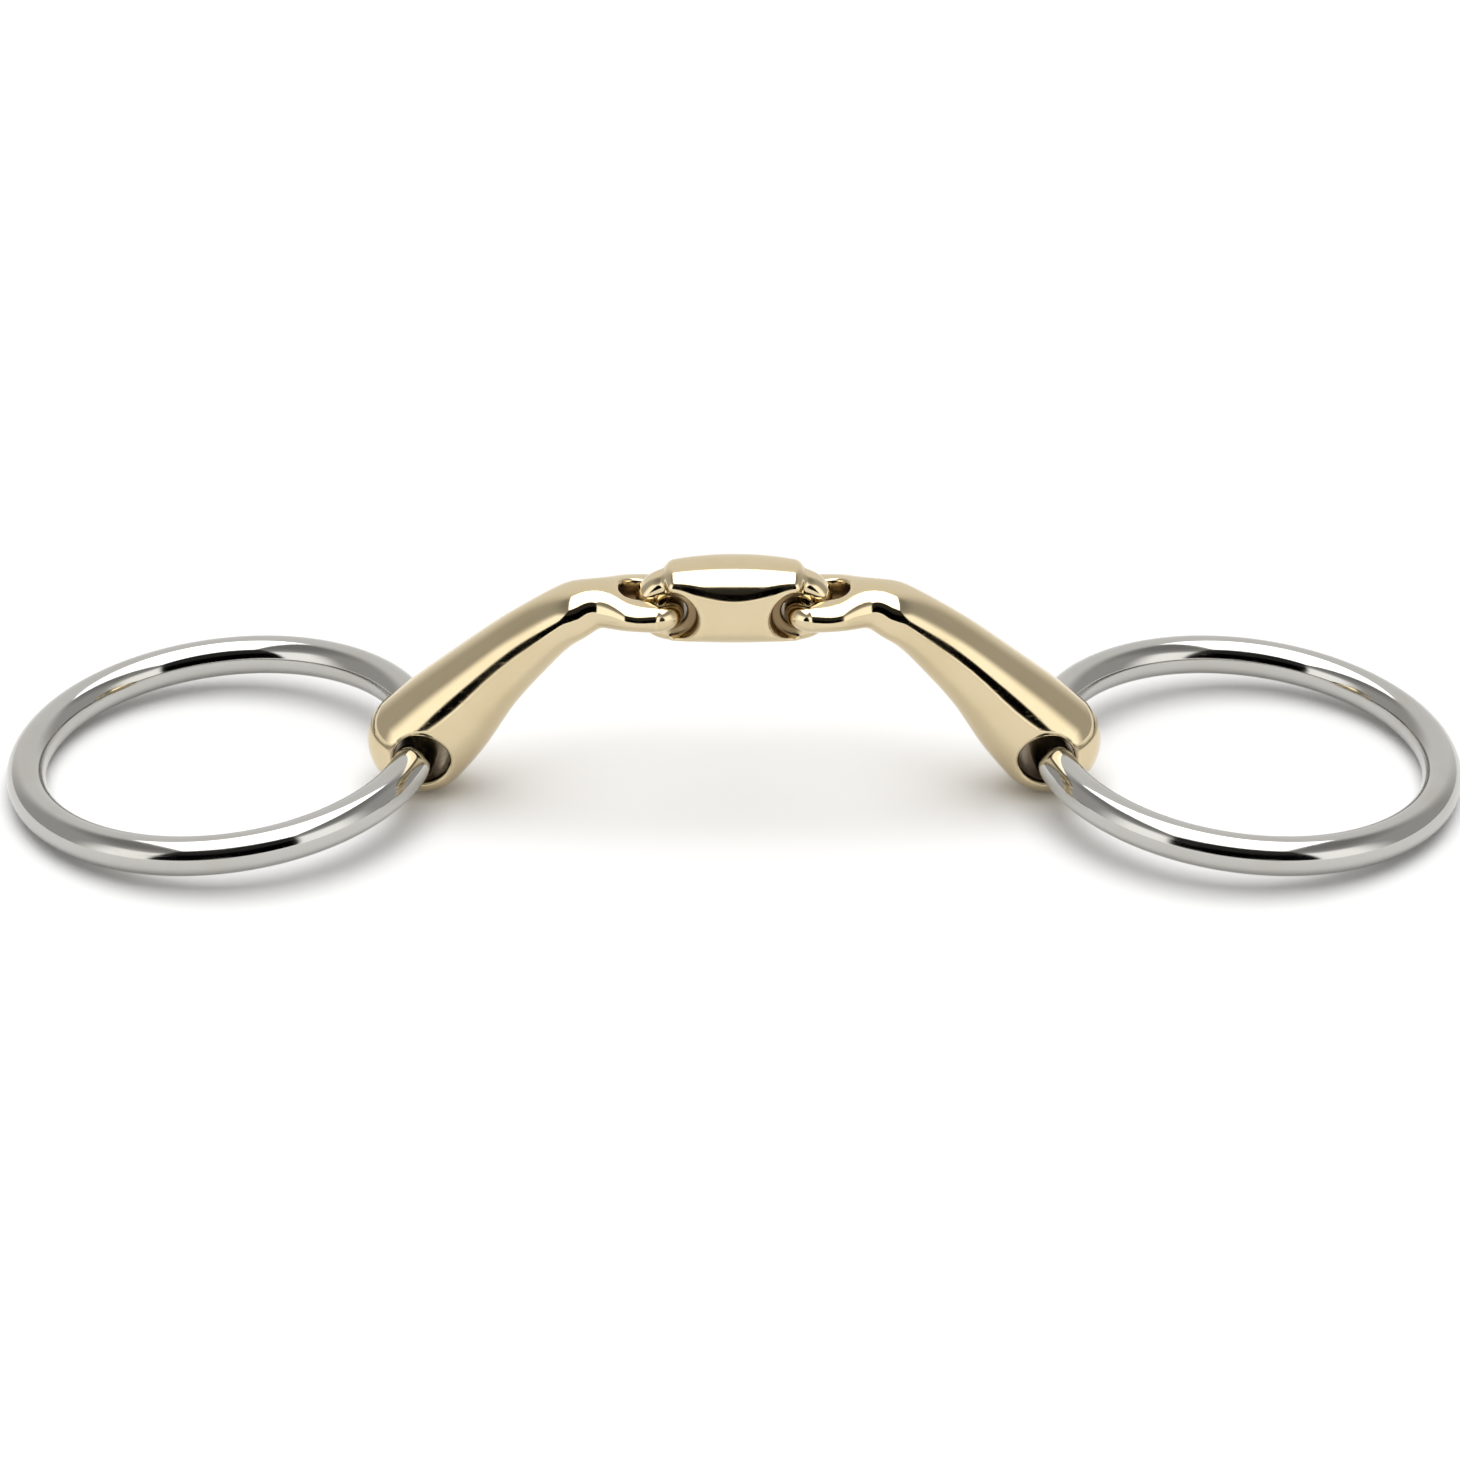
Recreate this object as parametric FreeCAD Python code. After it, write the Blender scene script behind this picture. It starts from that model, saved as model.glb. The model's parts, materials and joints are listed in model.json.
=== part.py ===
# Double-jointed loose-ring snaffle bit: two round-wire rings, two curved cannons and a lozenge between them.
# It lies as laid down for show: the rings flat on the table, the mouthpiece arched up between them on its butts.
# X runs along the bit, Y to the back and Z up. The origin is on the table under the middle. Millimetres.
import FreeCAD, Part
import math
import os

V = FreeCAD.Vector

# Rings
WIRE_D = 7.0                # round wire of a ring
RING_INNER_D = 64.0         # opening that the rein and the cheekpiece share
RING_CENTRE_X = 91.3        # ring's middle, either side of the bit's middle
RING_TILT_DEG = 5.1         # each ring is lifted on its inner side, where its butt holds it

# Cannons: axis stations in the arch's plane, from the butt to the eye, on the right-hand side
# (x, z, half width in the arch's plane, half depth along Y)
CANNON_STATIONS = [
    (55.9, 9.6, 9.6, 9.2),
    (50.7, 15.2, 8.9, 8.8),
    (44.5, 22.1, 7.3, 7.8),
    (37.0, 29.3, 6.0, 6.9),
    (30.1, 34.7, 4.9, 6.5),
    (27.3, 36.2, 4.5, 6.1),
    (24.7, 37.1, 4.1, 5.1),
    (19.5, 37.5, 3.3, 7.8),
    (14.0, 37.3, 2.6, 8.0),
]
DOME_LATITUDES = (86, 66, 44, 22)   # sections that round off the butt's end, in degrees
RING_HOLE_D = 10.0          # hole for the ring's wire, along Y
RING_HOLE_EDGE_R = 1.2      # rounding of either mouth of that hole
RING_HOLE_SLACK = (-0.4, -0.2)   # hole's axis from the wire's, along the bit and up

# Eyes at the cannons' inner ends: a loop of round bar that lies flat, hooked through the lozenge
EYE_BAR_D = 4.6
EYE_AXIS_X = 11.1           # the end bar, which is the hinge's axis
EYE_BAR_Y = 5.7             # side bars, either side of the arch's plane
EYE_CORNER_R = 2.8
EYE_ROOT = (24.5, 2.4)      # where the side bars close in and run into the cannon's neck
EYE_SLOT_END_X = 20.3       # throat of the eye's opening
EYE_SLOT_CORNER_R = 3.0

# Lozenge
LINK_AXIS_Z = 37.1          # height of both hinge axes
LINK_RISE = 8.7             # crown of the lozenge above the hinge axes
LINK_DROP = 6.4             # belly of the lozenge below them
LINK_WAIST = 0.9            # height of the widest line above the hinge axes
LINK_MID_HALF_DEPTH = 7.8
LINK_SLAB_X = 12.6          # the thick middle ends here, and thin tongues go on round the holes
LINK_SLAB_STATIONS = 9
LINK_CROWN_FALL = 1.2       # how much lower the crown is at the slab's ends than in the middle
LINK_DEPTH_FALL = 1.4       # how much thinner either side is there
LINK_CHEEK_DEPTHS = (8.4, 5.5)   # flattened cheeks of the slab, in the middle and at its ends
LINK_CHEEK_CREASE = 14      # the higher, the sharper the crease where they start
LINK_FULLNESS = 2.3         # 2 is an ellipse across the lozenge, and more is squarer
LINK_SECTION_POINTS = 48
LINK_SLAB_EDGE_R = 1.6
LINK_END_R = 6.5            # rounding of either tongue, about the hinge's axis
LINK_END_HALF_DEPTH = 3.0   # flat cheeks beside the holes
LINK_END_EDGE_R = 2.2
LINK_POCKET_R = 4.7         # sunk round cheek about either hole
LINK_SWEEP_DEG = 44.0       # sector cut away for the eye's side bars, up and down from level
LINK_SWEEP_R = 3.0
LINK_HOLE_D = 5.6
LINK_HOLE_X = 11.1
LINK_HOLE_EDGE_R = 0.8

WIRE_R = WIRE_D / 2
RING_R = RING_INNER_D / 2 + WIRE_R
TILT = math.radians(RING_TILT_DEG)
RING_CENTRE_Z = WIRE_R + RING_R * math.sin(TILT)
RING_HOLE_X = RING_CENTRE_X - RING_R * math.cos(TILT)
RING_HOLE_Z = WIRE_R + 2 * RING_R * math.sin(TILT)


def ring(side):
    """Butt-welded round-wire ring, side -1 on the left and +1 on the right."""
    normal = V(side * math.sin(TILT), 0, math.cos(TILT))
    return Part.makeTorus(RING_R, WIRE_R, V(side * RING_CENTRE_X, 0, RING_CENTRE_Z), normal)


def section(x, z, tangent, half_width, half_depth):
    """Elliptical section across the cannon's axis at (x, z)."""
    unit = Part.Wire(Part.Circle(V(0, 0, 0), V(0, 0, 1), 1).toShape())
    across = V(-tangent.z, 0, tangent.x)
    along_y = V(0, 1, 0)
    place = FreeCAD.Matrix(
        across.x * half_width, along_y.x * half_depth, tangent.x, x,
        across.y * half_width, along_y.y * half_depth, tangent.y, 0,
        across.z * half_width, along_y.z * half_depth, tangent.z, z,
        0, 0, 0, 1)
    return unit.transformGeometry(place)


def cannon_body():
    """Tapering bar from the domed butt, up the arch and down to the flat neck of the eye."""
    axis = Part.BSplineCurve()
    axis.interpolate([V(x, 0, z) for x, z, _, _ in CANNON_STATIONS])
    sections = []
    butt_x, butt_z, butt_half_width, butt_half_depth = CANNON_STATIONS[0]
    start = V(*axis.tangent(axis.parameter(V(butt_x, 0, butt_z)))[0])
    for latitude in DOME_LATITUDES:
        shrink, back = math.cos(math.radians(latitude)), math.sin(math.radians(latitude)) * butt_half_width
        sections.append(section(butt_x - start.x * back, butt_z - start.z * back, start,
                                butt_half_width * shrink, butt_half_depth * shrink))
    for x, z, half_width, half_depth in CANNON_STATIONS:
        tangent = V(*axis.tangent(axis.parameter(V(x, 0, z)))[0])
        sections.append(section(x, z, tangent, half_width, half_depth))
    return Part.makeLoft(sections, True, False)


def with_ring_hole(body):
    """Bores the butt along Y for the ring and rounds both mouths, as the wire wears them."""
    slack_x, slack_z = RING_HOLE_SLACK
    reach = 4 * RING_HOLE_D
    start = V(RING_HOLE_X + slack_x, -reach / 2, RING_HOLE_Z + slack_z)
    bored = body.cut(Part.makeCylinder(RING_HOLE_D / 2, reach, start, V(0, 1, 0)))
    wall = next(f for f in bored.Faces if isinstance(f.Surface, Part.Cylinder))
    mouths = [e for e in wall.Edges if e.BoundBox.XLength > WIRE_R and e.BoundBox.ZLength > WIRE_R]
    return bored.makeFillet(RING_HOLE_EDGE_R, mouths)


def eye_bar():
    """Loop of round bar: out along one side, across as the end bar, and back along the other side."""
    near, side, r = EYE_AXIS_X, EYE_BAR_Y, EYE_CORNER_R
    root_x, root_y = EYE_ROOT
    side_r = ((root_x - near - r) ** 2 + (side - root_y) ** 2) / (2 * (side - root_y))
    middle_x = (near + r + root_x) / 2
    middle_y = side - side_r + math.sqrt(side_r ** 2 - (middle_x - near - r) ** 2)
    bend = r * (1 - math.sqrt(0.5))

    def point(x, y, sign):
        return V(x, sign * y, LINK_AXIS_Z)

    def side_bar(sign):
        return Part.Arc(point(root_x, root_y, sign), point(middle_x, middle_y, sign),
                        point(near + r, side, sign)).toShape()

    def corner(sign):
        return Part.Arc(point(near + r, side, sign), point(near + bend, side - bend, sign),
                        point(near, side - r, sign)).toShape()

    end_bar = Part.LineSegment(point(near, side - r, -1), point(near, side - r, 1)).toShape()
    path = Part.Wire([side_bar(-1), corner(-1), end_bar, corner(1), side_bar(1)])
    start = point(root_x, root_y, -1)
    away = V(side_r - side + root_y, root_x - near - r, 0)
    bar_section = Part.Wire(Part.Circle(start, away, EYE_BAR_D / 2).toShape())
    return path.makePipeShell([bar_section], True, False)


def eye_slot():
    """Opening of the eye, straight through along Z, with rounded corners at its throat."""
    half_width = EYE_BAR_Y - EYE_BAR_D / 2
    near = EYE_AXIS_X + EYE_BAR_D / 2
    height = 4 * EYE_BAR_D
    box = Part.makeBox(EYE_SLOT_END_X - near, 2 * half_width, height,
                       V(near, -half_width, LINK_AXIS_Z - height / 2))
    throat = [e for e in box.Edges
              if abs(e.BoundBox.XMin - EYE_SLOT_END_X) < 1e-6 and e.BoundBox.ZLength > height / 2]
    return box.makeFillet(EYE_SLOT_CORNER_R, throat)


def cannon(side):
    """Half of the mouthpiece: butt, tapering bar and eye in one casting."""
    solid = with_ring_hole(cannon_body()).cut(eye_slot()).fuse(eye_bar())
    if side < 0:
        solid = solid.mirror(V(0, 0, 0), V(1, 0, 0))
    return solid


def link_section(x):
    """Egg-shaped section of the lozenge's thick middle, lower and thinner towards its ends."""
    share = (x / LINK_SLAB_X) ** 2
    deep = LINK_MID_HALF_DEPTH - LINK_DEPTH_FALL * share
    above = LINK_RISE - LINK_WAIST - LINK_CROWN_FALL * share
    below = LINK_DROP + LINK_WAIST
    middle, end = LINK_CHEEK_DEPTHS
    cheek = end + (middle - end) * (0.5 + 0.5 * math.cos(math.pi * x / LINK_SLAB_X))
    points = []
    for i in range(LINK_SECTION_POINTS):
        turn = 2 * math.pi * i / LINK_SECTION_POINTS
        along, up = math.cos(turn), math.sin(turn)
        size = (abs(along) ** LINK_FULLNESS + abs(up) ** LINK_FULLNESS) ** (-1 / LINK_FULLNESS)
        over = deep * size * abs(along) / cheek
        size *= (1 + over ** LINK_CHEEK_CREASE) ** (-1 / LINK_CHEEK_CREASE)
        tall = above if up > 0 else below
        points.append(V(x, deep * size * along, LINK_AXIS_Z + LINK_WAIST + tall * size * up))
    curve = Part.BSplineCurve()
    curve.interpolate(points, PeriodicFlag=True)
    return Part.Wire(curve.toShape())


def link_slab():
    """Thick middle of the lozenge, with the edges of its two ends rounded."""
    spacing = 2 * LINK_SLAB_X / (LINK_SLAB_STATIONS - 1)
    sections = [link_section(i * spacing - LINK_SLAB_X) for i in range(LINK_SLAB_STATIONS)]
    slab = Part.makeLoft(sections, True, False)
    rims = [e for e in slab.Edges if e.BoundBox.XLength < 1e-3]
    return slab.makeFillet(LINK_SLAB_EDGE_R, rims)


def link_tongue(side):
    """Thin rounded end of the lozenge, about the hinge's axis."""
    thick = 2 * LINK_END_HALF_DEPTH
    disc = Part.makeCylinder(LINK_END_R, thick, V(side * EYE_AXIS_X, -thick / 2, LINK_AXIS_Z), V(0, 1, 0))
    rims = [e for e in disc.Edges if e.BoundBox.YLength < 1e-3]
    return disc.makeFillet(LINK_END_EDGE_R, rims)


def link_pocket(side, face):
    """Room on one face of the slab, in which the eye's corner and side bar swing."""
    reach = 3 * LINK_END_R
    lean = math.radians(LINK_SWEEP_DEG)
    start_y = LINK_END_HALF_DEPTH if face > 0 else -LINK_END_HALF_DEPTH - reach

    def point(along, across):
        """Point at a distance along the sector's upper edge, mirrored by a negative distance across."""
        x = along * math.cos(lean) - abs(across) * math.sin(lean)
        z = along * math.sin(lean) + abs(across) * math.cos(lean)
        return V(side * (EYE_AXIS_X + x), start_y, LINK_AXIS_Z + math.copysign(z, across))

    r = LINK_SWEEP_R
    inner = V(side * (EYE_AXIS_X - r), start_y, LINK_AXIS_Z)
    outline = [Part.LineSegment(point(reach, r), point(0, r)).toShape(),
               Part.Arc(point(0, r), inner, point(0, -r)).toShape(),
               Part.LineSegment(point(0, -r), point(reach, -r)).toShape(),
               Part.LineSegment(point(reach, -r), point(reach, r)).toShape()]
    sector = Part.Face(Part.Wire(outline)).extrude(V(0, reach, 0))
    centre = V(side * LINK_HOLE_X, start_y, LINK_AXIS_Z)
    return sector.fuse(Part.makeCylinder(LINK_POCKET_R, reach, centre, V(0, 1, 0)))


def centre_link():
    """Lozenge: a thick rounded middle and two thin tongues, each with a hole for a cannon's end bar."""
    solid = link_slab()
    for side in (-1, 1):
        for face in (-1, 1):
            solid = solid.cut(link_pocket(side, face))
    solid = solid.multiFuse([link_tongue(-1), link_tongue(1)])
    reach = 4 * LINK_RISE
    for side in (-1, 1):
        start = V(side * LINK_HOLE_X, -reach / 2, LINK_AXIS_Z)
        solid = solid.cut(Part.makeCylinder(LINK_HOLE_D / 2, reach, start, V(0, 1, 0)))
    solid = solid.removeSplitter()
    walls = [f for f in solid.Faces
             if isinstance(f.Surface, Part.Cylinder) and abs(f.Surface.Radius - LINK_HOLE_D / 2) < 1e-6]
    mouths = [e for f in walls for e in f.Edges if max(e.BoundBox.XLength, e.BoundBox.ZLength) > 0.1
              and e.BoundBox.YLength < 1e-3]
    return solid.makeFillet(LINK_HOLE_EDGE_R, mouths)


NODES = {
    "left_ring": ring(-1),
    "right_ring": ring(1),
    "left_cannon": cannon(-1),
    "right_cannon": cannon(1),
    "centre_link": centre_link(),
}

os.makedirs("parts", exist_ok=True)
for name, shape in NODES.items():
    shape.exportStep("parts/" + name + ".step")
    print(name, shape.isValid(), len(shape.Solids), round(shape.Volume, 1), shape.BoundBox)
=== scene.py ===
"""Double-jointed loose-ring snaffle bit: steel rings, a pale gold mouthpiece, a white table."""

import json
import math

import bpy
import numpy as np
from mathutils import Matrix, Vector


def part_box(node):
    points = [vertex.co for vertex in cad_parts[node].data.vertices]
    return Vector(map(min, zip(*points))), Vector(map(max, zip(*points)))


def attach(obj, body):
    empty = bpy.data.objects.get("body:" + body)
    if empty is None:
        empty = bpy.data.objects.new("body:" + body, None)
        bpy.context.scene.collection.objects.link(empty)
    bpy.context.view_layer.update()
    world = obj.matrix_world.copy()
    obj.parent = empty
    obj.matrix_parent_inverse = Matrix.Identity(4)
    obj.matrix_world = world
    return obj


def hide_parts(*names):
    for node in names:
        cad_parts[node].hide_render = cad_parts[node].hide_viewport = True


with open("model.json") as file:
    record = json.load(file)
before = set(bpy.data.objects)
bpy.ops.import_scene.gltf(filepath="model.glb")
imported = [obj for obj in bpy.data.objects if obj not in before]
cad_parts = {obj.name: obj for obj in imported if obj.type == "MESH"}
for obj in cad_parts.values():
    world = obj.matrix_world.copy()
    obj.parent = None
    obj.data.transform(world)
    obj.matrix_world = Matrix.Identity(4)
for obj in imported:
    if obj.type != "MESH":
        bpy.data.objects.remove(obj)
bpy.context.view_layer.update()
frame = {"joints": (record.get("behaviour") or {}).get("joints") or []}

# Shapes are worked out in millimetres and turned into metres when their meshes are made.
MM = 0.001
STEP = 0.3      # size of the mesh's faces on the castings


def joint_point(name):
    """A joint's place in the frame, in millimetres."""
    joint = next(j for j in frame["joints"] if j["name"] == name)
    return np.array(joint["pos_m"]) / MM


EYE_X, _, EYE_Z = joint_point("right_cannon_fold")     # a cannon's end bar
WIRE_X, _, WIRE_Z = joint_point("right_ring_flap")     # a ring's wire, in the butt's hole

# ---------------------------------------------------------------- smooth solids

GRADIENT_STEP = 0.02        # millimetres either side of a point, to find a field's slope
BEND_STEP = 0.25            # and its surface's curvature
FIRST_ROUNDS = 4            # moves that bring the cells' middles onto the surface
SETTLE_ROUNDS = 3           # times that each point then goes to the middle of its neighbours
BACK_ROUNDS = 2             # and moves that bring it back onto the surface each time
TINY = 1e-9                 # keeps divisions off 0 along a casting's middle line


def soft_max(a, b, blend):
    """Larger of two distances, rounded over a band of width blend where they are near equal."""
    near = np.maximum(blend - np.abs(a - b), 0) / blend
    return np.maximum(a, b) + near ** 3 * blend / 6


def soft_min(a, b, blend):
    return -soft_max(-a, -b, blend)


def gradient(field, p):
    slope = np.empty_like(p)
    for k in range(3):
        shift = np.zeros(3)
        shift[k] = GRADIENT_STEP
        ahead, behind = (p + shift).T, (p - shift).T
        slope[:, k] = (field(*ahead) - field(*behind)) / (2 * GRADIENT_STEP)
    return slope


def surface_bend(field, p):
    """Sum of the two curvatures at points of a field's surface, positive where it is convex."""
    steps = BEND_STEP * np.concatenate([np.eye(3), -np.eye(3)])
    around = sum(field(*(p + step).T) for step in steps)
    return (around - len(steps) * field(*p.T)) / BEND_STEP ** 2


def onto_surface(field, p, rounds):
    """Moves points along the field's slope to where the field is 0."""
    for _ in range(rounds):
        slope = gradient(field, p)
        p = p - slope * (field(*p.T) / np.sum(slope ** 2, axis=1))[:, None]
    return p


def surface_net(field, low, high, step):
    """Points and quads of the surface where field(x, y, z) is 0, even in size and exactly on it."""
    counts = [int(math.ceil((h - l) / step)) + 1 for l, h in zip(low, high)]
    x, y, z = (l + step * np.arange(n) for l, n in zip(low, counts))
    inside = field(x[:, None, None], y[None, :, None], z[None, None, :]) < 0
    corners = sum(inside[i:counts[0] - 1 + i, j:counts[1] - 1 + j, k:counts[2] - 1 + k].astype(int)
                  for i in (0, 1) for j in (0, 1) for k in (0, 1))
    crossed = (corners > 0) & (corners < 8)
    number = np.full(crossed.shape, -1)
    number[crossed] = np.arange(crossed.sum())
    points = np.array(low) + (np.argwhere(crossed) + 0.5) * step
    quads = []
    for axis in range(3):
        u, v = (axis + 1) % 3, (axis + 2) % 3
        length = counts[axis] - 1
        first = np.take(inside, range(length), axis)
        second = np.take(inside, range(1, length + 1), axis)
        edges = np.argwhere(first != second)
        edges = edges[(edges[:, u] > 0) & (edges[:, v] > 0)]
        leaves = first[tuple(edges.T)]
        around = []
        for du, dv in ((1, 1), (0, 1), (0, 0), (1, 0)):
            cell = edges.copy()
            cell[:, u] -= du
            cell[:, v] -= dv
            around.append(number[tuple(cell.T)])
        around = np.array(around).T
        around[~leaves] = around[~leaves, ::-1]
        quads.append(around)
    quads = np.concatenate(quads)
    points = onto_surface(field, points, FIRST_ROUNDS)
    ends = np.concatenate([quads, np.roll(quads, 1, axis=1)]).ravel()
    starts = np.concatenate([np.roll(quads, 1, axis=1), quads]).ravel()
    for _ in range(SETTLE_ROUNDS):
        count = np.bincount(starts, minlength=len(points))
        middle = np.array([np.bincount(starts, points[ends, k], len(points)) for k in range(3)]).T
        points = onto_surface(field, middle / count[:, None], BACK_ROUNDS)
    return points, quads


# ---------------------------------------------------------------- cannons

# Axis stations from the butt to the eye, on the right-hand side:
# (x, z, half width in the arch's plane, half depth along Y, fullness of the section).
# A fullness of 2 is an ellipse, and more is squarer.
CANNON_STATIONS = np.array([
    (55.9, 9.6, 9.6, 9.2, 2.0),
    (50.7, 15.2, 8.9, 8.8, 2.0),
    (44.5, 22.1, 7.3, 7.8, 2.0),
    (37.0, 29.3, 6.0, 6.9, 2.0),
    (30.1, 34.7, 4.9, 6.5, 2.1),
    (27.3, 36.2, 4.5, 6.1, 2.4),
    (24.7, 37.1, 4.1, 5.1, 2.4),
    (19.5, 37.5, 3.3, 7.8, 2.0),
    (14.0, 37.3, 2.6, 8.0, 2.0),
])
RING_HOLE_R = 5.0               # hole for the ring's wire, along Y
RING_HOLE_SLACK = (-0.4, -0.2)  # its middle, in x and z from the wire's
RING_HOLE_BLEND = 1.5
EYE_BAR_R = 2.3
EYE_BAR_Y = 5.7                 # centre line of the eye's side bars, at their widest
EYE_CORNER_R = 2.8
EYE_ROOT = (24.5, 2.4)          # x and y where the side bars' centre lines start, inside the neck
EYE_THROAT_X = 20.3             # end of the eye's opening, on the neck's side
EYE_THROAT_R = 3.0
EYE_SLOT_BLEND = 1.6
EYE_BAR_BLEND = 1.8
AXIS_SAMPLES = 160              # places tried in a first search for the nearest one on the axis
AXIS_ROUNDS = 2                 # and steps that then close in on it


def spline(knots, values):
    """Natural cubic spline through rows of values, as a function of place. Order 1 is its slope."""
    count = len(knots)
    gap = np.diff(knots)
    matrix, right = np.eye(count), np.zeros_like(values)
    for i in range(1, count - 1):
        matrix[i, i - 1:i + 2] = gap[i - 1], 2 * (gap[i - 1] + gap[i]), gap[i]
        right[i] = 6 * ((values[i + 1] - values[i]) / gap[i]
                        - (values[i] - values[i - 1]) / gap[i - 1])
    bend = np.linalg.solve(matrix, right)

    def at(place, order=0):
        k = np.clip(np.searchsorted(knots, place, side="right") - 1, 0, count - 2)
        g = gap[k][..., None]
        a, b = (knots[k + 1] - place)[..., None], (place - knots[k])[..., None]
        start, end = values[k] / g - bend[k] * g / 6, values[k + 1] / g - bend[k + 1] * g / 6
        if order == 0:
            return (bend[k] * a ** 3 + bend[k + 1] * b ** 3) / (6 * g) + start * a + end * b
        return (bend[k + 1] * b ** 2 - bend[k] * a ** 2) / (2 * g) - start + end

    return at


STATION_GAPS = np.hypot(*np.diff(CANNON_STATIONS[:, :2], axis=0).T)
CANNON_PLACES = np.concatenate([[0], np.cumsum(STATION_GAPS)])
cannon_axis = spline(CANNON_PLACES, CANNON_STATIONS)


def nearest_on_axis(x, z):
    """Place on the cannon's axis nearest to each point of the arch's plane."""
    places = np.linspace(0, CANNON_PLACES[-1], AXIS_SAMPLES)
    best = np.full(np.broadcast(x, z).shape, np.inf)
    nearest = np.zeros(best.shape)
    for place, (axis_x, axis_z) in zip(places, cannon_axis(places)[:, :2]):
        apart = (x - axis_x) ** 2 + (z - axis_z) ** 2
        nearest = np.where(apart < best, place, nearest)
        best = np.minimum(apart, best)
    place = nearest
    for _ in range(AXIS_ROUNDS):
        here, slope = cannon_axis(place), cannon_axis(place, 1)
        ahead = (x - here[..., 0]) * slope[..., 0] + (z - here[..., 1]) * slope[..., 1]
        place = place + ahead / (slope[..., 0] ** 2 + slope[..., 1] ** 2)
        place = np.clip(place, 0, CANNON_PLACES[-1])
    return place


def cannon_bar(x, y, z):
    """Distance to the tapering bar with its domed butt."""
    place = nearest_on_axis(x, z)
    here, slope = cannon_axis(place), cannon_axis(place, 1)
    length = np.hypot(slope[..., 0], slope[..., 1])
    tangent_x, tangent_z = slope[..., 0] / length, slope[..., 1] / length
    dx, dz = x - here[..., 0], z - here[..., 1]
    across = dz * tangent_x - dx * tangent_z
    behind = np.where(place <= 0, np.minimum(dx * tangent_x + dz * tangent_z, 0), 0)
    width, depth, fullness = here[..., 2], here[..., 3], here[..., 4]
    shares = np.abs(np.stack(np.broadcast_arrays(across / width, y / depth, behind / width)))
    size = np.sum(shares ** fullness, axis=0) ** (1 / fullness) + TINY
    shares = (shares / size) ** (fullness - 1)
    steep = np.sqrt((shares[0] / width) ** 2 + (shares[1] / depth) ** 2
                    + (shares[2] / width) ** 2) + TINY
    return np.maximum((size - 1) / steep, CANNON_STATIONS[-1, 0] - x)


def eye_bar(x, y, z):
    """Distance to the eye's loop of round bar: side arcs, corners and the end bar."""
    y = np.abs(y)
    root_x, root_y = EYE_ROOT
    corner_x, corner_y = EYE_X + EYE_CORNER_R, EYE_BAR_Y - EYE_CORNER_R
    side_r = ((root_x - corner_x) ** 2 + (EYE_BAR_Y - root_y) ** 2) / (2 * (EYE_BAR_Y - root_y))
    side_y = EYE_BAR_Y - side_r
    last = math.atan2(root_x - corner_x, root_y - side_y)
    angle = np.arctan2(x - corner_x, y - side_y)
    on_side = np.abs(np.hypot(x - corner_x, y - side_y) - side_r)
    past_root = np.hypot(x - root_x, y - root_y)
    side = np.where(angle < 0, np.inf, np.where(angle > last, past_root, on_side))
    corner = np.abs(np.hypot(x - corner_x, y - corner_y) - EYE_CORNER_R)
    corner = np.where((x < corner_x) & (y > corner_y), corner, np.inf)
    end = np.where(y <= corner_y, np.abs(x - EYE_X), np.inf)
    return np.hypot(np.minimum(np.minimum(side, corner), end), z - EYE_Z) - EYE_BAR_R


def eye_slot(x, y):
    """Distance to the eye's opening, seen from above: a slot with rounded corners at its throat."""
    near = EYE_X + EYE_BAR_R
    middle, half = (EYE_THROAT_X + near) / 2, (EYE_THROAT_X - near) / 2
    over_x, over_y = np.abs(x - middle) - half, np.abs(y) - (EYE_BAR_Y - EYE_BAR_R)
    in_x, in_y = over_x + EYE_THROAT_R, over_y + EYE_THROAT_R
    rounded = (np.hypot(np.maximum(in_x, 0), np.maximum(in_y, 0))
               + np.minimum(np.maximum(in_x, in_y), 0) - EYE_THROAT_R)
    return np.where(x < middle, np.maximum(over_x, over_y), rounded)


def cannon_field(x, y, z):
    hole = np.hypot(x - WIRE_X - RING_HOLE_SLACK[0], z - WIRE_Z - RING_HOLE_SLACK[1]) - RING_HOLE_R
    solid = soft_max(cannon_bar(x, y, z), -hole, RING_HOLE_BLEND)
    solid = soft_max(solid, -eye_slot(x, y), EYE_SLOT_BLEND)
    return soft_min(solid, eye_bar(x, y, z), EYE_BAR_BLEND)


# ---------------------------------------------------------------- lozenge

LINK_RISE = 8.7             # crown of the lozenge above the hinge axes
LINK_DROP = 6.4             # belly of the lozenge below them
LINK_WAIST_Z = 0.9          # height of the widest line above the hinge axes
LINK_MID_DEPTH = 7.8        # half the thickness of the middle
LINK_SLAB_X = 12.6          # the thick middle ends here, and tongues go on round the holes
LINK_CROWN_FALL = 1.2       # fall of the crown from the middle to the slab's ends
LINK_DEPTH_FALL = 1.4       # fall of half the thickness over the same length
LINK_FALL_END = 1.3         # both falls stop at this share of that length
LINK_CHEEK_DEPTHS = (8.2, 5.5)   # flattened cheeks of the slab, in the middle and at its ends
LINK_CHEEK_R = 1.4
LINK_FULLNESS = 2.3         # 2 is an ellipse across the lozenge, and more is squarer
LINK_SLAB_R = 2.0           # rounding of the slab's ends
LINK_END_R = 6.5            # rounding of either end, about the hinge's axis
LINK_END_DEPTH = 3.0        # flat cheeks beside the holes
LINK_END_EDGE_R = 2.2
LINK_SWEEP_DEG = 44.0       # sector that the eye's side bars sweep as the cannon folds
LINK_SWEEP_R = 3.0
LINK_SWEEP_BLEND = 2.0
LINK_TONGUE_BLEND = 1.0
LINK_POCKET_R = 4.7         # sunk round cheek about either hole
LINK_HOLE_R = 2.8
LINK_HOLE_X = 11.1
LINK_HOLE_BLEND = 1.0


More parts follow.
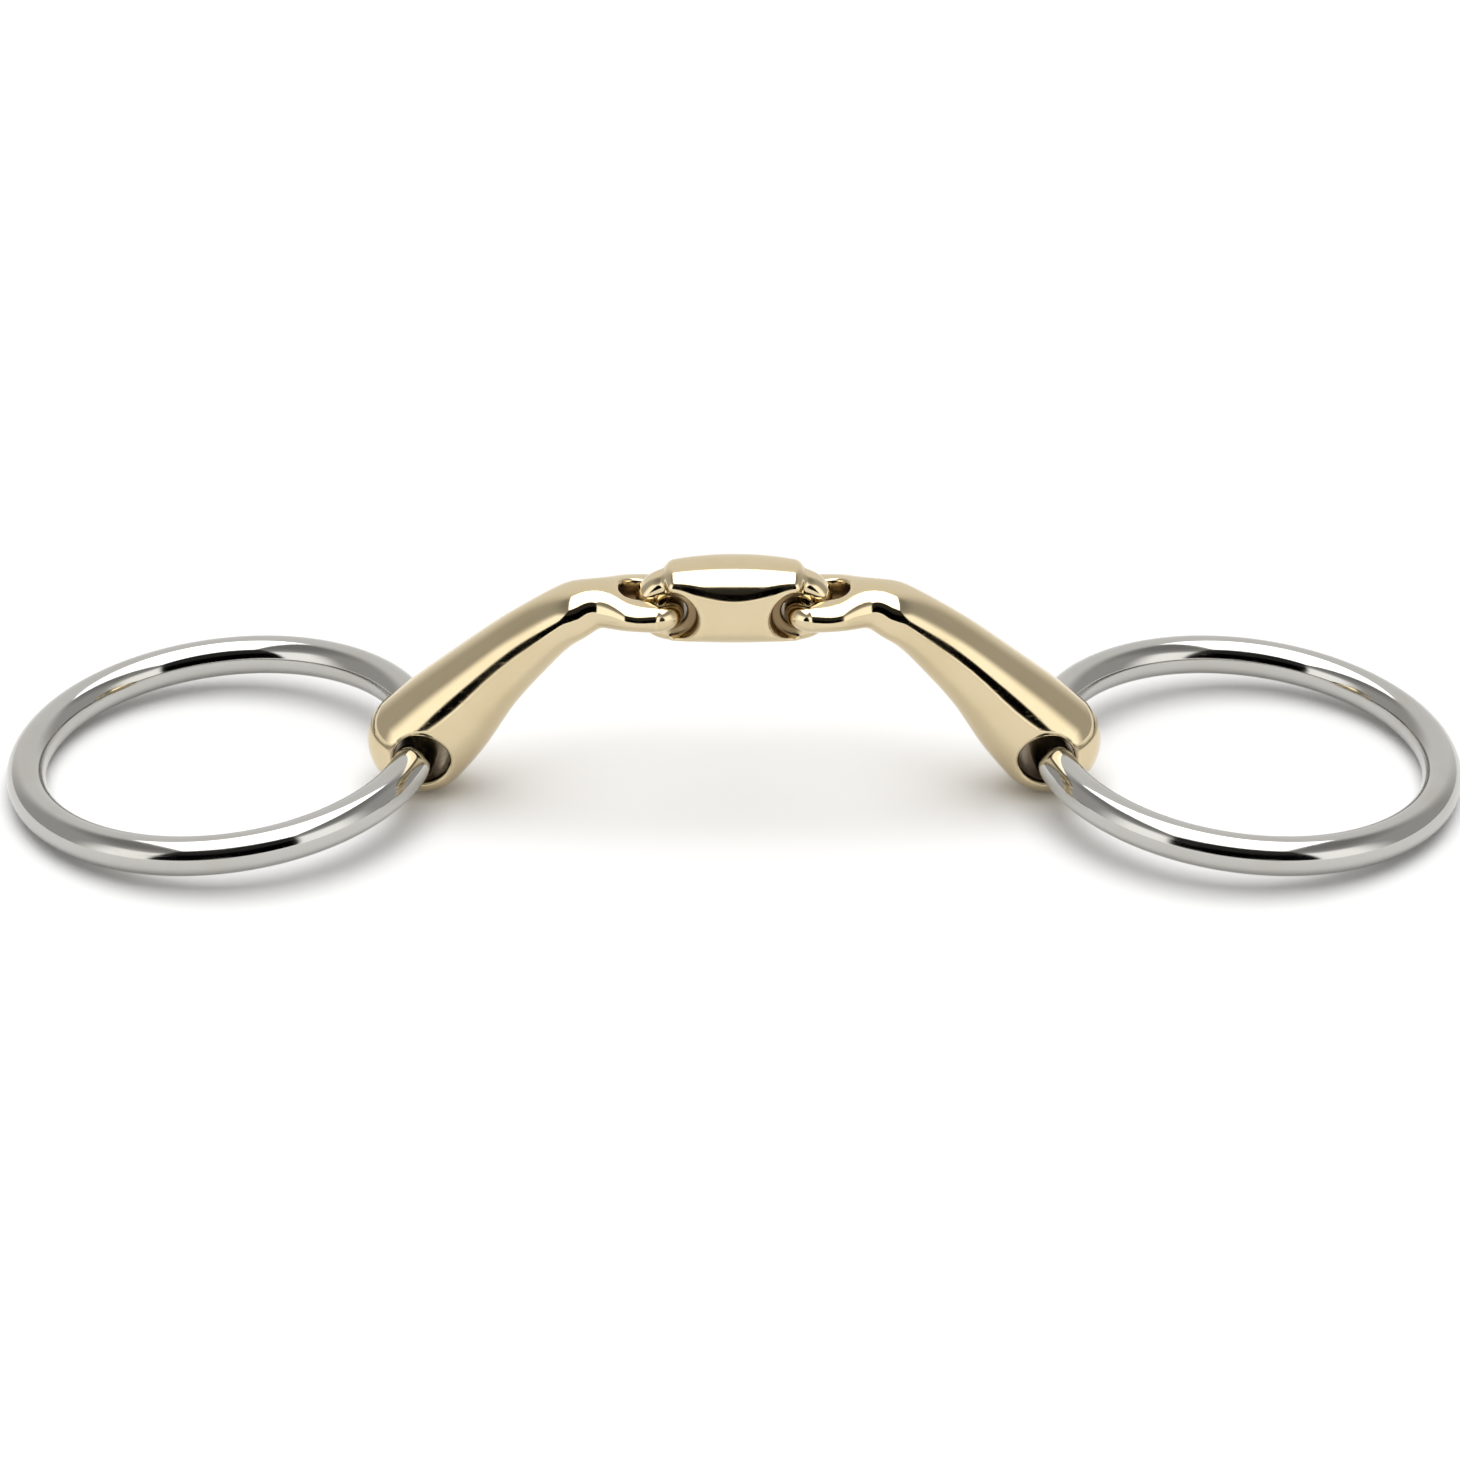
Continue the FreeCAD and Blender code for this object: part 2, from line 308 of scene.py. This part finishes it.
def round_max(a, b, r):
    """Larger of two distances, with an outer edge of radius r where they meet."""
    a, b = a + r, b + r
    return np.minimum(np.maximum(a, b), 0) + np.hypot(np.maximum(a, 0), np.maximum(b, 0)) - r


def link_slab(x, y, z):
    """Distance to the thick middle, an egg across the lozenge that thins towards its ends."""
    share = np.minimum(x / LINK_SLAB_X, LINK_FALL_END) ** 2
    up = z - LINK_WAIST_Z
    tall = np.where(up > 0, LINK_RISE - LINK_WAIST_Z - LINK_CROWN_FALL * share,
                    LINK_DROP + LINK_WAIST_Z)
    deep = LINK_MID_DEPTH - LINK_DEPTH_FALL * share
    y_share, z_share = y / deep, np.abs(up) / tall
    size = (y_share ** LINK_FULLNESS + z_share ** LINK_FULLNESS) ** (1 / LINK_FULLNESS) + TINY
    slope = np.hypot(y_share ** (LINK_FULLNESS - 1) / deep,
                     z_share ** (LINK_FULLNESS - 1) / tall) * size ** (1 - LINK_FULLNESS) + TINY
    middle, end = LINK_CHEEK_DEPTHS
    swell = 0.5 + 0.5 * np.cos(np.pi * np.minimum(x / LINK_SLAB_X, 1))
    egg = round_max((size - 1) / slope, y - end - (middle - end) * swell, LINK_CHEEK_R)
    return round_max(egg, x - LINK_SLAB_X, LINK_SLAB_R)


def link_tongue(x, y, z):
    """Distance to the flat tongue whose ends are rounded about the hinge axes."""
    outline = np.hypot(np.maximum(x - EYE_X, 0), z) - LINK_END_R
    return round_max(outline, y - LINK_END_DEPTH, LINK_END_EDGE_R)


def link_sweep(x, y, z):
    """Distance to the room beside the tongue that the eye's side bars swing through."""
    out = x - EYE_X
    lean_c, lean_s = np.cos(np.radians(LINK_SWEEP_DEG)), np.sin(np.radians(LINK_SWEEP_DEG))
    edge = np.where(out * lean_c + z * lean_s > 0, z * lean_c - out * lean_s, np.hypot(out, z))
    pocket = np.hypot(x - LINK_HOLE_X, z) - LINK_POCKET_R
    return soft_max(np.minimum(edge - LINK_SWEEP_R, pocket), LINK_END_DEPTH - y, LINK_SWEEP_BLEND)


def link_field(x, y, z):
    x, y, z = np.abs(x), np.abs(y), z - EYE_Z
    slab = soft_max(link_slab(x, y, z), -link_sweep(x, y, np.abs(z)), LINK_SWEEP_BLEND)
    body = soft_min(slab, link_tongue(x, y, z), LINK_TONGUE_BLEND)
    hole = np.hypot(x - LINK_HOLE_X, z) - LINK_HOLE_R
    return soft_max(body, -hole, LINK_HOLE_BLEND)


# ---------------------------------------------------------------- rings

WIRE_R = 3.5
RING_SPARE = 0.01           # millimetres that a ring stays inside its CAD node's box
RING_TURNS = 360
WIRE_TURNS = 72


def ring_mesh(node):
    """Points, quads and grain of a ring of round wire, tilted as its CAD node's box tells."""
    low, high = (np.array(c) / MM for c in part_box(node))
    middle, size = (low + high) / 2, high - low
    outward = math.copysign(1, middle[0])
    ring_r = size[1] / 2 - WIRE_R - RING_SPARE
    tilt = math.asin((size[2] / 2 - WIRE_R - RING_SPARE) / ring_r) * outward
    butt = math.pi * (outward > 0)      # the grain starts at this turn, hidden in the butt's hole
    turn = butt + np.linspace(0, 2 * math.pi, RING_TURNS, endpoint=False)[:, None]
    around = np.linspace(0, 2 * math.pi, WIRE_TURNS, endpoint=False)[None, :]
    flat = (ring_r + WIRE_R * np.cos(around)) * np.cos(turn)
    side = (ring_r + WIRE_R * np.cos(around)) * np.sin(turn)
    lift = WIRE_R * np.sin(around) + 0 * turn
    points = np.stack([flat * math.cos(tilt) + lift * math.sin(tilt), side,
                       lift * math.cos(tilt) - flat * math.sin(tilt)], -1) + middle
    number = np.arange(RING_TURNS * WIRE_TURNS).reshape(RING_TURNS, WIRE_TURNS)
    onward, over = np.roll(number, -1, 0), np.roll(number, -1, 1)
    quads = np.stack([number, onward, np.roll(onward, -1, 1), over], -1).reshape(-1, 4)
    grain = np.stack(np.broadcast_arrays(ring_r * turn, WIRE_R * np.cos(around),
                                         WIRE_R * np.sin(around)), -1)
    return points.reshape(-1, 3), quads, grain.reshape(-1, 3)


# ---------------------------------------------------------------- pieces

def make_piece(name, points, quads, material, body, node, slot, grain, **shares):
    """A smooth-shaded piece from points in millimetres, riding on a body in place of a CAD node.

    At each point, grain is the place that its polishing marks are drawn at. Its shares are bend,
    the surface's total curvature, and sunk, the depth under the outer skin in holes and hollows.
    """
    mesh = bpy.data.meshes.new(name)
    mesh.from_pydata((points * MM).tolist(), [], quads.tolist())
    mesh.polygons.foreach_set("use_smooth", [True] * len(mesh.polygons))
    mesh.materials.append(material)
    mesh.attributes.new("grain", "FLOAT_VECTOR", "POINT").data.foreach_set("vector", grain.ravel())
    for share, values in shares.items():
        mesh.attributes.new(share, "FLOAT", "POINT").data.foreach_set("value", values)
    mesh.update()
    piece = bpy.data.objects.new(name, mesh)
    bpy.context.scene.collection.objects.link(piece)
    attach(piece, body)
    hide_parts(node)
    return piece


class Nodes:
    """Shorthand for building a node tree: each call adds a node and returns its first output."""

    def __init__(self, tree):
        self.tree = tree

    def add(self, kind, inputs=(), output=0, **settings):
        node = self.tree.nodes.new("ShaderNode" + kind)
        for name, value in settings.items():
            setattr(node, name, value)
        for name, value in dict(inputs).items():
            self.feed(node.inputs[name], value)
        return node.outputs[output]

    def feed(self, socket, value):
        if isinstance(value, bpy.types.NodeSocket):
            self.tree.links.new(value, socket)
        else:
            socket.default_value = value

    def math(self, operation, a, b=0.0):
        return self.add("Math", {0: a, 1: b}, operation=operation)

    def rise(self, value, start, end, low=0.0, high=1.0):
        """Smooth step from low at start to high at end."""
        ends = {"From Min": start, "From Max": end, "To Min": low, "To Max": high}
        return self.add("MapRange", {"Value": value, **ends}, interpolation_type="SMOOTHSTEP")

    def mix(self, share, a, b):
        """a where share is 0 and b where it is 1."""
        return self.add("Mix", {0: share, 2: a, 3: b})

    def rgb_mix(self, share, a, b):
        """The same for colours, each a socket or three numbers."""
        a, b = (c if isinstance(c, bpy.types.NodeSocket) else (*c, 1) for c in (a, b))
        return self.add("Mix", {0: share, 6: a, 7: b}, output=2, data_type="RGBA")


# The metals' noises: size, levels of detail, and the values over which each one's effect sets in
HAZE_PER_MM = 0.11
HAZE_DETAIL = 3.0
HAZE_RISE = (0.4, 0.7)
MARKS_ALONG_PER_MM = 0.16
MARKS_ACROSS_PER_MM = 2.2
MARKS_DETAIL = 4.0
MARKS_RISE = (0.58, 0.74)
GRIT_PER_MM = 3.0
GRIT_DETAIL = 2.0
GRIT_RISE = (0.35, 0.6)
GRIT_RELIEF = 0.15              # height of the grit as a share of the marks' depth
MARK_STRENGTH = 0.25
MARK_DEPTH = 0.003 * MM

# Tints of the metal's colour, and how much of each is mixed in where its effect is full
TARNISH = (0.93, 0.91, 0.86)
TARNISH_SHARE = 0.5
RUBBED = (1.15, 1.15, 1.15)
RUBBED_SHARE = 0.5
# Painted shade: holes and hollows are darkened towards this dark brown, in place of the shade that
# falls in them
HOLLOW_PAINTED_SHADE = (0.24, 0.17, 0.11)
HOLLOW_PAINTED_SHADE_SHARE = 0.85

# Roughness that each effect adds
HAZE_DULL = 0.05
MARKS_DULL = 0.09
RUBBED_DULL = 0.08
CREVICE_DULL = 0.25

RUBBED_BEND = (0.45, 0.9)       # bends, in 1/mm, over which convex edges start to be rubbed
CREVICE_SUNK = (0.2, 1.8)       # millimetres under the outer skin over which painted shade darkens the hollows
CREVICE_HAZE = (1.8, 0.0)       # the painted shade in the hollows is a little lighter where the haze is strong


def metal(name, colour, roughness):
    """Polished metal: faint haze, rubbing marks along the grain, rubbed edges, painted shade in
    dull crevices.
    """
    material = bpy.data.materials.new(name)
    material.use_nodes = True
    nodes = Nodes(material.node_tree)
    shader = material.node_tree.nodes["Principled BSDF"]
    grain = nodes.add("Attribute", output=1, attribute_name="grain")
    bend = nodes.add("Attribute", output=2, attribute_name="bend")
    sunk = nodes.add("Attribute", output=2, attribute_name="sunk")
    haze = nodes.add("TexNoise", {"Vector": grain, "Scale": HAZE_PER_MM, "Detail": HAZE_DETAIL})
    haze = nodes.rise(haze, *HAZE_RISE)
    stretch = (MARKS_ALONG_PER_MM, MARKS_ACROSS_PER_MM, MARKS_ACROSS_PER_MM)
    streaks = nodes.add("VectorMath", {0: grain, 1: stretch}, operation="MULTIPLY")
    marks = nodes.add("TexNoise", {"Vector": streaks, "Scale": 1.0, "Detail": MARKS_DETAIL})
    marks = nodes.rise(marks, *MARKS_RISE)
    grit = nodes.add("TexNoise", {"Vector": grain, "Scale": GRIT_PER_MM, "Detail": GRIT_DETAIL})
    rubbed = nodes.math("MULTIPLY", nodes.rise(bend, *RUBBED_BEND), nodes.rise(grit, *GRIT_RISE))
    # Painted shade: the deeper a point lies in a hole or hollow, the darker and duller it is
    # painted
    crevice = nodes.math("MULTIPLY", nodes.rise(sunk, *CREVICE_SUNK),
                         nodes.rise(haze, *CREVICE_HAZE))
    shade = colour
    for effect, share, tint in ((haze, TARNISH_SHARE, TARNISH), (rubbed, RUBBED_SHARE, RUBBED),
                                (crevice, HOLLOW_PAINTED_SHADE_SHARE, HOLLOW_PAINTED_SHADE)):
        tinted = [c * t for c, t in zip(colour, tint)]
        shade = nodes.rgb_mix(nodes.math("MULTIPLY", effect, share), shade, tinted)
    nodes.feed(shader.inputs["Base Color"], shade)
    shader.inputs["Metallic"].default_value = 1.0
    dull = roughness
    for effect, more in ((haze, HAZE_DULL), (marks, MARKS_DULL), (rubbed, RUBBED_DULL),
                         (crevice, CREVICE_DULL)):
        dull = nodes.math("ADD", nodes.math("MULTIPLY", effect, more), dull)
    nodes.feed(shader.inputs["Roughness"], dull)
    relief = nodes.math("SUBTRACT", nodes.math("MULTIPLY", grit, GRIT_RELIEF), marks)
    bump = nodes.add("Bump", {"Strength": MARK_STRENGTH, "Distance": MARK_DEPTH, "Height": relief})
    nodes.feed(shader.inputs["Normal"], bump)
    return material


STEEL_COLOUR = (0.50, 0.493, 0.47)
ALLOY_COLOUR = (0.67, 0.56, 0.365)
POLISH = 0.07                   # roughness of both metals where nothing dulls them

steel = metal("polished_steel", STEEL_COLOUR, POLISH)
alloy = metal("pale_gold_alloy", ALLOY_COLOUR, POLISH)

for side in ("left", "right"):
    points, quads, grain = ring_mesh(side + "_ring")
    bend, sunk = np.full(len(points), 1 / WIRE_R), np.zeros(len(points))
    make_piece(side + "_ring_wire", points, quads, steel, side + "_loose_ring", side + "_ring",
               "ring_steel", grain, bend=bend, sunk=sunk)

# Boxes that hold the castings, in millimetres
CANNON_ROOM = ((7.5, -10.5, -1.5), (68.0, 10.5, 46.0))
LINK_ROOM = ((-19.0, -9.0, 29.5), (19.0, 9.0, 47.5))
LINK_STEP = STEP * 0.75

points, quads = surface_net(cannon_field, *CANNON_ROOM, STEP)
# sunk sets how far the painted shade darkens the ring hole and the eye's opening
bend, sunk = surface_bend(cannon_field, points), -cannon_bar(*points.T)
for side, sign in (("right", 1), ("left", -1)):
    mirrored = points * (sign, 1, 1)
    make_piece(side + "_cannon_casting", mirrored, quads[:, ::sign], alloy, side + "_bar",
               side + "_cannon", "mouthpiece_alloy", mirrored, bend=bend, sunk=sunk)

points, quads = surface_net(link_field, *LINK_ROOM, LINK_STEP)
x, y, z = points.T - np.array([[0], [0], [EYE_Z]])
tongue = link_tongue(np.abs(x), np.abs(y), np.abs(z))
# sunk sets how far the painted shade darkens the lozenge's holes and the room beside its tongues
outer_skin = np.minimum(link_slab(np.abs(x), np.abs(y), z), tongue)
make_piece("centre_link_casting", points, quads, alloy, "lozenge", "centre_link",
           "mouthpiece_alloy", points, bend=surface_bend(link_field, points), sunk=-outer_skin)

# ---------------------------------------------------------------- studio

CAMERA_ELEVATION = math.radians(30.0)
CAMERA_DISTANCE = 1.2
CAMERA_AIM = (-0.00075, 0.01962, 0.0)
CAMERA_LENS = 162.6
CAMERA_FILM = 36.0
TABLE_SIZE = 6.0
TABLE_COLOUR = (0.9, 0.9, 0.9)
TABLE_ROUGHNESS = 1.0


def flat_sheet(name, width, depth, material):
    """A level rectangle about its own origin."""
    w, d = width / 2, depth / 2
    mesh = bpy.data.meshes.new(name)
    mesh.from_pydata([(-w, -d, 0), (w, -d, 0), (w, d, 0), (-w, d, 0)], [], [(0, 1, 2, 3)])
    mesh.materials.append(material)
    sheet = bpy.data.objects.new(name, mesh)
    bpy.context.scene.collection.objects.link(sheet)
    return sheet


def plain(name, colour, roughness):
    material = bpy.data.materials.new(name)
    material.use_nodes = True
    shader = material.node_tree.nodes["Principled BSDF"]
    shader.inputs["Base Color"].default_value = (*colour, 1)
    shader.inputs["Roughness"].default_value = roughness
    shader.inputs["Specular IOR Level"].default_value = 0.0
    return material


flat_sheet("table", TABLE_SIZE, TABLE_SIZE, plain("white_table", TABLE_COLOUR, TABLE_ROUGHNESS))

TENT_COLOUR = (1, 0.995, 0.98)

# Radiances of the light tent round the table, and the angles in degrees over which each starts.
# Azimuth 0 is on the camera's side, and the tent is the same on the left as on the right.
SIDE_WALL = 0.5
SIDE_WALL_TOP = 0.28
SIDE_WALL_FALL = (36, 58)       # elevations over which the side wall dims towards its top
BACK_WALL = 0.95
BACK_WALL_SIDE = (122, 158)
FRONT_STRIP = 1.6               # tall white strips beside the opening that the camera looks in by
FRONT_STRIP_SIDE = (84, 58)
FRONT_STRIP_HEAD = (44, 32)
OPENING_TOP = 0.03              # the opening is dark, and its upper part a little less so
OPENING_TOP_RISE = (28, 38)
OPENING_SIDE = (40, 36)
OPENING_FOOT = (1, 4)
OPENING_HEAD = (61, 58)

SOFTBOX_HEIGHT = 3.0
SOFTBOX_WIDTH = 2.8
SOFTBOX_DEPTH = 3.6
SOFTBOX_RADIANCE = 2.75


def light_tent():
    """World light: grey side walls, a pale back wall, a tall white strip either side of the camera
    and a dark opening between them."""
    world = bpy.data.worlds.new("light_tent")
    world.use_nodes = True
    nodes = Nodes(world.node_tree)
    way = nodes.add("SeparateXYZ", {0: nodes.add("TexCoord", output=0)})
    x, y, z = way.node.outputs
    azimuth = nodes.math("ARCTAN2", x, nodes.math("MULTIPLY", y, -1.0))
    azimuth = nodes.math("DEGREES", nodes.math("ABSOLUTE", azimuth))
    elevation = nodes.math("DEGREES", nodes.math("ARCSINE", z))
    side = nodes.rise(elevation, *SIDE_WALL_FALL, SIDE_WALL, SIDE_WALL_TOP)
    wall = nodes.mix(nodes.rise(azimuth, *BACK_WALL_SIDE), side, BACK_WALL)
    strip = nodes.math("MULTIPLY", nodes.rise(azimuth, *FRONT_STRIP_SIDE),
                       nodes.rise(elevation, *FRONT_STRIP_HEAD))
    wall = nodes.mix(strip, wall, FRONT_STRIP)
    opening = nodes.math("MULTIPLY", nodes.rise(elevation, *OPENING_FOOT),
                         nodes.rise(elevation, *OPENING_HEAD))
    opening = nodes.math("MULTIPLY", nodes.rise(azimuth, *OPENING_SIDE), opening)
    inside = nodes.rise(elevation, *OPENING_TOP_RISE, 0.0, OPENING_TOP)
    background = world.node_tree.nodes["Background"]
    background.inputs["Color"].default_value = (*TENT_COLOUR, 1)
    nodes.feed(background.inputs["Strength"], nodes.mix(opening, wall, inside))
    bpy.context.scene.world = world


def overhead_softbox():
    """The key light: a large softbox straight above the bit."""
    light = bpy.data.lights.new("overhead_softbox", "AREA")
    light.shape = "RECTANGLE"
    light.size = SOFTBOX_WIDTH
    light.size_y = SOFTBOX_DEPTH
    light.energy = SOFTBOX_RADIANCE * math.pi * SOFTBOX_WIDTH * SOFTBOX_DEPTH
    lamp = bpy.data.objects.new("overhead_softbox", light)
    bpy.context.scene.collection.objects.link(lamp)
    lamp.location = (0, 0, SOFTBOX_HEIGHT)


light_tent()
overhead_softbox()

camera = bpy.data.objects.new("camera", bpy.data.cameras.new("camera"))
bpy.context.scene.collection.objects.link(camera)
camera.data.lens = CAMERA_LENS
camera.data.sensor_width = CAMERA_FILM
camera.location = (CAMERA_AIM[0], CAMERA_AIM[1] - CAMERA_DISTANCE * math.cos(CAMERA_ELEVATION),
                   CAMERA_AIM[2] + CAMERA_DISTANCE * math.sin(CAMERA_ELEVATION))
camera.rotation_euler = (math.pi / 2 - CAMERA_ELEVATION, 0, 0)
bpy.context.scene.camera = camera
bpy.context.scene.view_settings.view_transform = "Standard"
